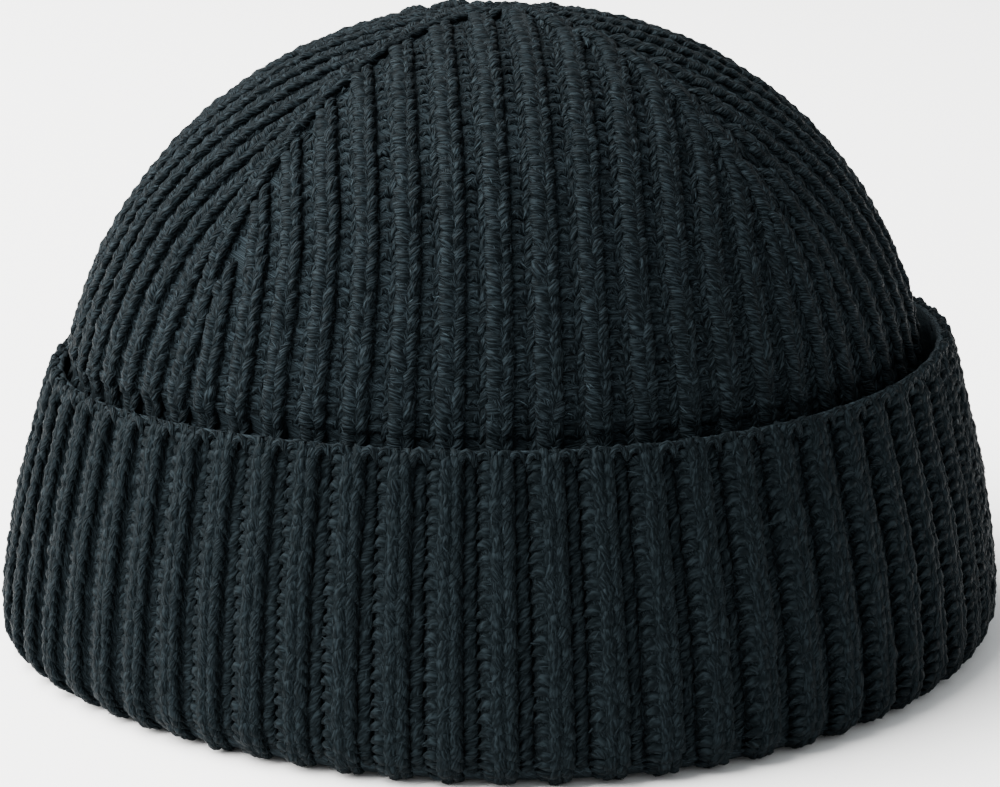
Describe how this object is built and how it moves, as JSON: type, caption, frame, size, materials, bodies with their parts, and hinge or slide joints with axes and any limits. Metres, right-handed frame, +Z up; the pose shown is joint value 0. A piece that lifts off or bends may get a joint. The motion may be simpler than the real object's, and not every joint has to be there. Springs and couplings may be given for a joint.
{
  "type": "knit hat",
  "caption": "Dark rib-knit hat with a rounded crown in four gores and a deep turned-up cuff, open below for the head.",
  "frame": {"origin": "centre of the bounding box in plan, on the surface that the fold stands on", "axes": "+Z up through the crown's top, -Y towards the front, +X to the right as seen from the front"},
  "size_m": [0.2032, 0.2034, 0.1257],
  "materials": {
    "knit_crown": "chunky rib knit in a near-black, slightly blue-green yarn, matt",
    "knit_cuff": "chunky rib knit in a near-black, slightly blue-green yarn, matt"
  },
  "bodies": {
    "root": {"crown": "knit_crown", "cuff": "knit_cuff"}
  },
  "joints": []
}
